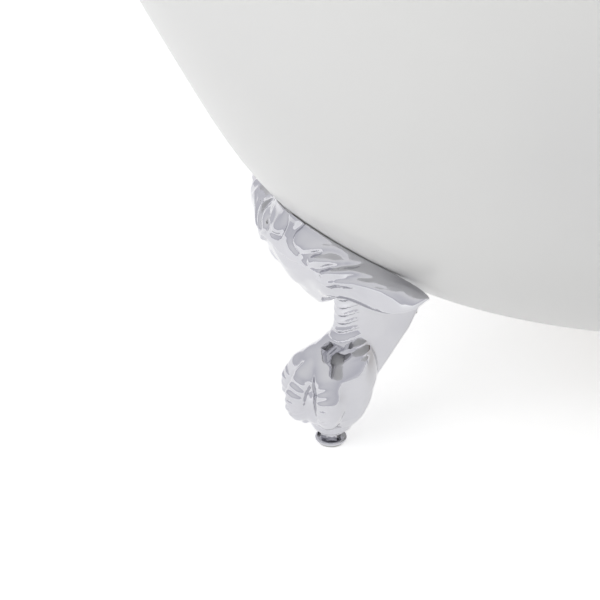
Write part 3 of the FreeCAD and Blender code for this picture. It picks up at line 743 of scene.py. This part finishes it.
    def solid(self, at: Points) -> Array:
        """Carves the saddle.

        Args:
            at: the points of the block.
        Returns:
            The signed distance.
        """
        x, y, z = at
        cx, cz, bx, bz, swell = self.section(y)
        dx, dz = bx - cx, bz - cz
        size = np.sqrt(dx * dx + dz * dz)
        nx, nz = -dz / size, dx / size
        px, pz = x - cx, z - cz
        v = (px * dx + pz * dz) / (size * size)
        h = px * nx + pz * nz
        a_net, v_net, height = self.relief()
        a = np.broadcast_to(np.abs(y), v.shape)
        ia = np.clip(a / a_net[1], 0, len(a_net) - 1.001)
        iv = np.clip((v - v_net[0]) / (v_net[1] - v_net[0]), 0, len(v_net) - 1.001)
        i, j = ia.astype(np.int32), iv.astype(np.int32)
        fa, fv = ia - i, iv - j
        relief = ((1 - fa) * ((1 - fv) * height[i, j] + fv * height[i, j + 1])
                  + fa * ((1 - fv) * height[i + 1, j] + fv * height[i + 1, j + 1]))
        bow = swell * np.interp(v, *zip(*self.bow))
        front = (h - bow - relief) * 0.8
        thick = self.thick * (1 - 0.8 * np.minimum((y / self.half) ** 2, 1))
        back = -(h + thick - 0.25 * bow)
        lower = (v - 1.0) * size - 1.5
        tip = (np.abs(y) - self.half) * np.ones_like(v)
        body = carve(carve(front, lower, 12.0), back, 5.0)
        top = -(v + 0.10) * size
        return carve(np.maximum(body, top), tip, 6.0)


@dataclass(frozen=True)
class Claw:
    """The ball in its claws, the ringed shin and the web of the leg."""

    ball: tuple = (6.0, 0.0, 48.0)
    ball_radius: float = 26.8
    toe_reach: float = 27.0
    toe_radius: float = 8.6
    toe_spread: float = 62.0
    shin_x: float = -17.0
    shin_radius: float = 11.2
    shin_low: float = 82.0
    shin_high: float = 146.0
    ribs: int = 9
    rib_height: float = 2.0
    rib_wave: float = 2.2
    # Where the shin widens: by how much, and the heights where that begins and is whole.
    flares: tuple = ((2.6, 100, 78), (2.4, 126, 146))
    # Masses of the closed claw: middle and radii. The palm's y is mirrored for the other side.
    ankle: tuple = ((-14.0, 0.0, 68.0), (22.0, 19.0, 20.0))
    heel: tuple = ((-10.0, 0.0, 40.0), (21.0, 21.0, 26.0))
    palm: tuple = ((-7.0, 10.0, 54.0), (23.0, 20.0, 33.0))
    wrinkle_deg: float = 11.0
    wrinkle_height: float = 0.62
    wrinkle_tilt: float = 0.25
    # Angle above the ball's middle and girth, along a toe.
    knuckles: tuple = ((86, 1.1), (66, 1.12), (46, 1.12), (30, 0.98), (14, 1.06), (-4, 0.98), (-20, 0.86))
    # Height, then how far back and forward the web reaches and half its thickness.
    web_back: tuple = ((18, -12), (36, -20), (54, -35), (72, -52), (90, -68), (108, -79), (126, -87),
                       (144, -94), (175, -100))
    web_front: tuple = ((18, 10), (36, 12), (54, 10), (72, 0), (90, -15), (108, -17), (126, -17),
                        (144, -16), (175, -14))
    web_half: tuple = ((18, 12), (36, 15), (54, 15), (72, 13.8))
    web_ends: Pair = (17, 196)
    boss: tuple = ((0, 0, 22), (0, 0, 34), 15.5, 24.0)

    def toe(self, at: Points, azimuth: float) -> Array:
        """One toe with its knuckles, wrinkles and talon.

        Args:
            at: the points.
            azimuth: the toe's direction, in degrees.
        Returns:
            The signed distance.
        """
        x, y, z = at
        c, s = cos(radians(azimuth)), sin(radians(azimuth))
        girth = self.toe_radius * (1.15 if azimuth else 1.0)

        def spot(angle: float, reach: float = 1.0) -> Spot:
            """A point of the toe's middle line, at an angle above the ball's middle."""
            a, r = radians(angle), self.toe_reach * reach
            return (self.ball[0] + c * r * cos(a), self.ball[1] + s * r * cos(a),
                    self.ball[2] + r * sin(a))

        toe = None
        for (a0, g0), (a1, g1) in zip(self.knuckles, self.knuckles[1:]):
            link = capsule(at, spot(a0), spot(a1), g0 * girth, g1 * girth)
            toe = link if toe is None else blend(toe, link, 4.0)
        dx, dy, dz = x - self.ball[0], y - self.ball[1], z - self.ball[2]
        out = dx * c + dy * s
        angle = np.degrees(np.arctan2(dz, out))
        side = -dx * s + dy * c
        wave = np.radians(angle + self.wrinkle_tilt * np.abs(side)) * 2 * np.pi / radians(self.wrinkle_deg)
        reach = smoothstep(-26, -14, angle) * smoothstep(42, 30, angle)
        middle, wide = (copysign(6.5, -azimuth), 4.5) if azimuth else (0.0, 9.0)
        toe = toe + self.wrinkle_height * np.cos(wave) * reach * np.exp(-((side - middle) / wide) ** 2)
        talon = capsule(at, spot(-18, 1.0), spot(-44, 0.96), 5.6, 3.8)
        talon = blend(talon, capsule(at, spot(-44, 0.96), spot(-66, 0.9), 3.8, 1.4), 2.0)
        return blend(toe, talon, 3.0)

    def heel_line(self, z: Array) -> Array:
        """How far back the leg reaches at a height."""
        return np.interp(z, *zip(*self.web_back))

    def web(self, at: Points) -> Array:
        """The leg's web behind the shin.

        Args:
            at: the points.
        Returns:
            The signed distance.
        """
        x, y, z = at
        back, front = self.heel_line(z), np.interp(z, *zip(*self.web_front))
        half = np.interp(z, *zip(*self.web_half))
        middle, reach = (back + front) / 2, (front - back) / 2
        u, v = np.abs(x - middle) / reach, np.abs(y) / half
        p = 4 + 4 * smoothstep(40, 70, z)
        k = (u ** p + v ** p + 1e-9) ** (1 / p)
        grad = np.sqrt(((u ** (p - 1)) / reach) ** 2 + ((v ** (p - 1)) / half) ** 2) * k ** (1 - p) + 1e-5
        side = (k - 1) / np.maximum(grad * 1.25, 1 / 60)
        low, high = self.web_ends
        return np.maximum(np.minimum(side, 30), np.maximum(low - z, z - high))

    def shin(self, at: Points) -> Array:
        """The upright front of the leg, with its overlapping scales.

        Args:
            at: the points.
        Returns:
            The signed distance.
        """
        x, y, z = at
        step = (self.shin_high - self.shin_low) / self.ribs
        dx = x - self.shin_x
        turn = np.arctan2(y, dx)
        radius = np.sqrt(dx * dx + y * y)
        drop = z + self.rib_wave * np.cos(2.0 * turn)
        phase = ((drop - self.shin_low) / step) % 1.0
        scale = self.rib_height * (1 - phase) ** 1.4 * smoothstep(0.0, 0.16, phase)
        scale = scale * smoothstep(self.shin_low - 2, self.shin_low + 8, z)
        flare = sum(wide * smoothstep(start, whole, z) for wide, start, whole in self.flares)
        return np.maximum((radius - self.shin_radius - flare - scale) * 0.85,
                          np.maximum(self.shin_low - 14 - z, z - self.shin_high - 12))

    def solid(self, at: Points) -> Array:
        """The whole leg on its ball.

        Args:
            at: the points.
        Returns:
            The signed distance.
        """
        fist = blend(ellipsoid(at, *self.ankle), ellipsoid(at, *self.heel), 10.0)
        (px, py, pz), radii = self.palm
        for side in (-1.0, 1.0):
            fist = blend(fist, ellipsoid(at, (px, side * py, pz), radii), 8.0)
        fist = carve(fist, self.heel_line(at[2]) - at[0], 7.0)
        leg = blend(blend(self.shin(at), fist, 20.0), self.web(at), 1.0)
        for side in (-1.0, 1.0):
            leg = blend(leg, self.toe(at, side * self.toe_spread), 12.0)
        ball = ellipsoid(at, self.ball, (self.ball_radius,) * 3)
        foot = blend(blend(leg, capsule(at, *self.boss), 8.0), ball, 1.6)
        return blend(foot, self.toe(at, 0.0), 1.4)


@dataclass(frozen=True)
class Foot:
    """One cast foot, carved once and mirrored to the other three corners.

    It is carved in a block of space, where the leveller's axis is the origin and +X points outwards
    from the bath.
    """

    low: Spot = (-116.0, -122.0, 13.0)
    high: Spot = (46.0, 122.0, 232.0)
    cell: float = 1.1
    saddle: Saddle = Saddle()
    claw: Claw = Claw()
    place: Pair = (-565.0, -170.0)
    turn_deg: float = 29.0
    gap: float = 0.6
    boss_z: float = 14.8
    bore: float = 5.05
    bore_top: float = 42.0
    # The bracket's stud: its x, its hole's and its pocket's radius, and the height of the nut's seat.
    stud: tuple[float, float, float, float] = (-72.0, 5.6, 10.6, 108.0)
    seat_web: float = 5.0
    pocket_deep: float = 60.0
    bracket_room: Spot = (23.3, 10.8, 5.6)

    def block(self) -> Points:
        """The points of the block."""
        x, y, z = (np.arange(a, b, self.cell, dtype=np.float32) for a, b in zip(self.low, self.high))
        return x[:, None, None], y[None, :, None], z[None, None, :]

    def to_bath(self, x: Array, y: Array) -> tuple[Array, Array]:
        """Where points of the foot's frame are in the bath's."""
        c, s = cos(radians(self.turn_deg)), sin(radians(self.turn_deg))
        return -c * x + s * y + self.place[0], -s * x - c * y + self.place[1]

    def carve_block(self, shell: BathShell) -> Array:
        """Carves the foot out of its block.

        Args:
            shell: the shell that the saddle has to fit.
        Returns:
            Signed distance at the block's points.
        """
        at = x, y, z = self.block()
        foot = blend(self.saddle.solid(at), self.claw.solid(at), 5.0)
        world = *self.to_bath(x, y), z
        form = shell.inside_form(world, self.gap)
        foot = carve(foot, -form, 1.6)
        sx, hole, pocket, seat = self.stud
        r = np.sqrt((x - sx) ** 2 + y * y)
        long, wide, thick = self.bracket_room
        room = np.maximum(np.maximum(np.abs(x - sx) - long, np.abs(y) - wide),
                          np.maximum(seat - self.gap - z, shell.inside_form(world, thick)))
        for cut in (self.boss_z - z,
                    np.minimum(self.bore - np.sqrt(x * x + y * y), self.bore_top - z),
                    np.minimum(hole - r, z - (seat - self.seat_web)),
                    np.minimum(pocket - r, np.minimum(seat - z, z - (seat - self.pocket_deep))), -room):
            foot = np.maximum(foot, cut)
        return foot.astype(np.float32)

    def build(self, shell: BathShell) -> tuple[Array, Array]:
        """Turns the carved block into a mesh at the front left corner.

        Args:
            shell: the shell that the saddle has to fit.
        Returns:
            Points in the bath's frame and faces.
        """
        values = self.carve_block(shell)
        for axis in range(3):
            for end in (0, -1):
                values[(slice(None),) * axis + (end,)] = self.cell
        reach = 3 * self.cell
        volume = openvdb.FloatGrid(reach)
        volume.copyFromArray(np.clip(values, -reach, reach), tolerance=1e-4)
        points, triangles, quads = volume.convertToPolygons(0.0, 0.0)
        x, y, z = (points * self.cell + np.array(self.low)).T
        place = np.stack([*self.to_bath(x, y), z], -1)
        log.info("foot: %d points, %d quads, %d triangles", len(place), len(quads), len(triangles))
        return place, quads

    def set_out(self, shell: BathShell) -> None:
        """Makes the four feet and hands them to their body.

        Args:
            shell: the shell that they carry.
        """
        points, faces = self.build(shell)
        for corner, mirror in CORNERS.items():
            flip = mirror[0] * mirror[1] < 0
            thing = mesh_object("cast_foot_" + corner, points * np.array([*mirror, 1.0]),
                                faces[:, ::-1] if flip else faces)
            weld(thing)
            thing.data.shade_smooth()
            CAST_CHROME.coat_on(thing)
            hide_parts("foot_" + corner)
            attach(thing, "bath")
            log.info("made %s", thing.name)


# ---- levellers ----
@dataclass(frozen=True)
class Leveller:
    """Screw foot: rounded disc, hexagon and threaded stud."""

    disc_low: float = 1.3
    disc_radius: float = 12.9
    disc_thick: float = 4.2
    flats: float = 14.0
    hex_thick: float = 3.2
    thread_radius: float = 5.0
    pitch: float = 1.5
    stud_long: float = 30.0
    rib_share: float = 0.42
    edge_ease: float = 0.3
    under_in: float = 3.4
    over_in: float = 4.4
    around: int = 96

    def hexagon(self, low: float, high: float) -> tuple[Array, Array]:
        """A chamfered hexagon.

        Args:
            low: its underside.
            high: its top.
        Returns:
            Points and quads.
        """
        a = np.linspace(0, 2 * np.pi, self.around, endpoint=False)
        flat = self.flats / 2 / np.cos((a + np.pi / 6) % (np.pi / 3) - np.pi / 6)
        rows = []
        for z, limit in ((low, 0), (low, 0.99), (low + 0.5, 1.12), (low + 0.7, 1.2),
                         (high - 0.7, 1.2), (high - 0.5, 1.12), (high, 0.99), (high, 0)):
            r = np.minimum(flat, limit * self.flats / 2)
            rows.append(np.stack([r * np.cos(a), r * np.sin(a), np.full(self.around, z)], -1))
        return np.concatenate(rows), grid_faces(len(rows), self.around)

    def thread_tree(self) -> Tree:
        """Geometry nodes for the stud: a core with a rib that winds round it.

        Returns:
            The tree, with its sizes as named inputs.
        """
        tree = bpy.data.node_groups.new("threaded_stud", "GeometryNodeTree")
        for name in ("Radius", "Pitch", "Length", "Base"):
            tree.interface.new_socket(name, in_out="INPUT", socket_type="NodeSocketFloat")
        tree.interface.new_socket("Finish", in_out="INPUT", socket_type="NodeSocketMaterial")
        tree.interface.new_socket("Stud", in_out="OUTPUT", socket_type="NodeSocketGeometry")
        given = add_node(tree, "NodeGroupInput").outputs
        long = given["Length"]

        def node(kind: str, inputs: dict) -> Socket:
            """Adds a geometry node and hands back its first output."""
            return add_node(tree, "GeometryNode" + kind, inputs).outputs[0]

        def lift(solid: Socket, height: Socket) -> Socket:
            """Moves a solid upwards."""
            up = add_node(tree, "ShaderNodeCombineXYZ", {"Z": height}).outputs[0]
            return node("Transform", {"Geometry": solid, "Translation": up})

        rib = calculate(tree, "MULTIPLY", given["Pitch"], self.rib_share)
        core = calculate(tree, "SUBTRACT", given["Radius"], calculate(tree, "MULTIPLY", given["Pitch"], 0.5))
        line = calculate(tree, "SUBTRACT", given["Radius"], rib)
        turns = calculate(tree, "DIVIDE", long, given["Pitch"])
        spiral = node("CurveSpiral", {"Resolution": 40, "Rotations": turns, "Start Radius": line,
                                      "End Radius": line, "Height": long})
        section = node("CurvePrimitiveCircle", {"Resolution": 6, "Radius": rib})
        wound = node("CurveToMesh", {"Curve": spiral, "Profile Curve": section, "Fill Caps": True})
        bar = node("MeshCylinder", {"Vertices": 48, "Radius": core, "Depth": long})
        raised = lift(bar, calculate(tree, "MULTIPLY", long, 0.5))
        joined = add_node(tree, "GeometryNodeJoinGeometry", {0: raised})
        tree.links.new(wound, joined.inputs[0])
        smooth = node("SetShadeSmooth", {0: lift(joined.outputs[0], given["Base"])})
        dressed = node("SetMaterial", {"Geometry": node("RealizeInstances", {0: smooth}),
                                       "Material": given["Finish"]})
        add_node(tree, "NodeGroupOutput", {0: dressed})
        return tree

    def stud(self) -> bpy.types.Mesh:
        """Runs the tree once.

        Returns:
            The stud's plain mesh, on the Z axis, in metres.
        """
        tree = self.thread_tree()
        thing = mesh_object("stud", np.zeros((1, 3)), np.zeros((0, 3), int))
        nodes = thing.modifiers.new("stud", "NODES")
        nodes.node_group = tree
        base = self.disc_low + self.disc_thick + self.hex_thick
        values = {"Radius": self.thread_radius * MM, "Pitch": self.pitch * MM,
                  "Length": (self.stud_long - 0.7) * MM, "Base": base * MM,
                  "Finish": TURNED_CHROME.material()}
        for socket in tree.interface.items_tree:
            if socket.in_out == "INPUT":
                nodes[socket.identifier] = values[socket.name]
        apply_modifiers(thing)
        mesh = thing.data
        bpy.data.objects.remove(thing)
        return mesh

    def build(self, foot: Foot) -> None:
        """Makes the four levellers and hands each to its body.

        Args:
            foot: the foot that the first one screws into.
        """
        r, low, top = self.disc_radius, self.disc_low, self.disc_low + self.disc_thick
        edge = self.disc_thick / 2 - self.edge_ease
        rim = [(r - edge + edge * cos(a), low + self.edge_ease + edge + edge * sin(a))
               for a in np.linspace(-pi / 2, pi / 2, 13)]
        disc = [(0, low), (r - self.under_in, low), *rim, (r - self.over_in, top),
                (self.flats * 0.56, top + 0.1), (0, top + 0.1)]
        parts = [lathe(np.array(disc), self.around), self.hexagon(top, top + self.hex_thick)]
        points = np.concatenate([p for p, _ in parts])
        faces = np.concatenate([parts[0][1], parts[1][1] + len(parts[0][0])])
        stud = self.stud()
        for corner, mirror in CORNERS.items():
            thing = mesh_object("leveller_screw_" + corner, points, faces)
            weld(thing)
            work = bmesh.new()
            work.from_mesh(thing.data)
            work.from_mesh(stud)
            at = (foot.place[0] * mirror[0] * MM, foot.place[1] * mirror[1] * MM, 0)
            turn = Matrix.Rotation(radians(180 + foot.turn_deg * mirror[0] * mirror[1]), 4, "Z")
            bmesh.ops.transform(work, matrix=Matrix.Translation(at) @ turn, verts=work.verts)
            work.to_mesh(thing.data)
            work.free()
            TURNED_CHROME.coat_on(thing)
            thing.data.shade_smooth()
            thing.data.set_sharp_from_angle(angle=radians(32))
            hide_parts("leveller_" + corner)
            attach(thing, "leveller_" + corner)
            log.info("made %s", thing.name)


# ---- studio ----
@dataclass(frozen=True)
class Lamp:
    """A soft rectangular lamp; mirrors don't show it."""

    name: str
    place: Spot
    size: Pair
    power: float
    aim: Spot = (-0.4, -0.3, 0.2)

    def hang(self) -> None:
        """Puts the lamp in the scene."""
        data = bpy.data.lights.new(self.name, "AREA")
        data.shape, data.size, data.size_y = "RECTANGLE", *self.size
        data.energy = self.power
        lamp = bpy.data.objects.new(self.name, data)
        lamp.location = self.place
        lamp.visible_glossy = False
        lamp.rotation_euler = (Vector(self.aim) - Vector(self.place)).to_track_quat("-Z", "Y").to_euler()
        bpy.context.scene.collection.objects.link(lamp)


@dataclass(frozen=True)
class Studio:
    """Pale floor, white surround, soft lamps and the camera."""

    azimuth_deg: float = -4.8
    elevation_deg: float = 30.7
    distance: float = 2.4
    mm_per_pixel: float = 0.805
    disc_pixel: Pair = (331.0, 440.0)
    picture: int = 600
    floor_half: float = 40000.0
    floor_z: float = -0.3
    floor_glow: float = 0.56
    soft_light: tuple = (0.43, 0.43, 0.435, 1)
    # Height of a direction, 0 level and 1 straight up, and the colour that mirrors show there.
    sky: tuple = ((0.0, "F2F2F6"), (0.12, "DEDEE4"), (0.4, "ECECF0"), (1.0, "FFFFFF"))
    sensor: float = 36.0
    lamps: tuple = (
        Lamp("key", (-3.4, -1.8, 2.4), (2.4, 2.4), 42.0),
        Lamp("overhead", (-0.8, -1.9, 2.8), (2.6, 2.6), 4.0),
        Lamp("low", (-1.9, -2.2, 0.5), (2.0, 0.6), 7.0),
        Lamp("rear", (1.2, 3.6, 2.4), (2.4, 2.4), 30.0, aim=(0.0, 0.3, 0.3)),
    )

    def camera(self, foot: Foot) -> None:
        """Stands the camera where the picture was taken from.

        Args:
            foot: the near foot, whose leveller is at a known pixel.
        """
        a, e = radians(self.azimuth_deg), radians(self.elevation_deg)
        right = Vector((cos(a), sin(a), 0))
        back = Vector((sin(a) * cos(e), -cos(a) * cos(e), sin(e)))
        up = back.cross(right)
        scale = self.mm_per_pixel * MM
        across, down = (p - self.picture / 2 for p in self.disc_pixel)
        target = Vector((foot.place[0] * MM, foot.place[1] * MM, 0)) - right * across * scale \
            + up * down * scale
        data = bpy.data.cameras.new("camera")
        data.sensor_width = self.sensor
        data.lens = self.sensor * self.distance / (self.picture * scale)
        data.clip_start, data.clip_end = 0.05, 200.0
        camera = bpy.data.objects.new("camera", data)
        camera.location = target + back * self.distance
        camera.rotation_mode = "QUATERNION"
        camera.rotation_quaternion = Matrix((right, up, back)).transposed().to_quaternion()
        bpy.context.scene.collection.objects.link(camera)
        bpy.context.scene.camera = camera

    def floor(self) -> None:
        """Lays the floor: pale, matt, and white where it is seen, directly, in a mirror or through glass."""
        h = self.floor_half
        corners = [(-h, -h, self.floor_z), (h, -h, self.floor_z), (h, h, self.floor_z), (-h, h, self.floor_z)]
        plane = mesh_object("studio_floor", corners, [(0, 1, 2, 3)])
        paint = bpy.data.materials.new("studio_floor_paint")
        paint.use_nodes = True
        tree = paint.node_tree
        path = add_node(tree, "ShaderNodeLightPath").outputs
        both = calculate(tree, "MAXIMUM", path["Is Camera Ray"], path["Is Glossy Ray"])
        seen = calculate(tree, "MAXIMUM", both, path["Is Transmission Ray"])
        fill(tree.nodes["Principled BSDF"],
             {"Base Color": linear("F0F0F0"), "Roughness": 0.9, "Emission Color": (1, 1, 1, 1),
              "Emission Strength": calculate(tree, "MULTIPLY", seen, self.floor_glow)})
        plane.data.materials.append(paint)

    def surround(self) -> None:
        """Sets the world: soft grey light, white behind the bath, a slightly grey horizon in mirrors."""
        world = bpy.data.worlds.new("studio")
        bpy.context.scene.world = world
        world.use_nodes = True
        tree = world.node_tree
        tree.nodes.clear()
        height = add_node(tree, "ShaderNodeSeparateXYZ",
                          {0: add_node(tree, "ShaderNodeTexCoord").outputs["Generated"]}).outputs["Z"]
        ramp = add_node(tree, "ShaderNodeValToRGB", {"Fac": height})
        stops = ramp.color_ramp.elements
        stops[0].color, stops[1].color = linear(self.sky[0][1]), linear(self.sky[-1][1])
        for position, colour in self.sky[1:-1]:
            stops.new(position).color = linear(colour)
        path = add_node(tree, "ShaderNodeLightPath").outputs
        mirror = add_node(tree, "ShaderNodeMix", {0: path["Is Glossy Ray"], 6: self.soft_light,
                                                  7: ramp.outputs["Color"]}, data_type="RGBA")
        shown = add_node(tree, "ShaderNodeMix", {0: path["Is Camera Ray"], 6: mirror.outputs[2],
                                                 7: (1, 1, 1, 1)}, data_type="RGBA")
        light = add_node(tree, "ShaderNodeBackground", {"Color": shown.outputs[2], "Strength": 1.0})
        add_node(tree, "ShaderNodeOutputWorld", {0: light.outputs[0]})

    def build(self, foot: Foot) -> None:
        """Builds the whole studio round the bath.

        Args:
            foot: the near foot, which the camera looks at.
        """
        self.camera(foot)
        self.floor()
        self.surround()
        for lamp in self.lamps:
            lamp.hang()
        bpy.context.scene.view_settings.view_transform = "Standard"


def main() -> None:
    """Builds the bath piece by piece, then the studio."""
    logging.basicConfig(level=logging.INFO, format="%(name)s: %(message)s")
    shell, foot = BathShell(), Foot()
    shell.dress(shell.build())
    foot.set_out(shell)
    Leveller().build(foot)
    for dress in Dress:
        dress.apply()
    Studio().build(foot)


if __name__ == "__main__":
    main()
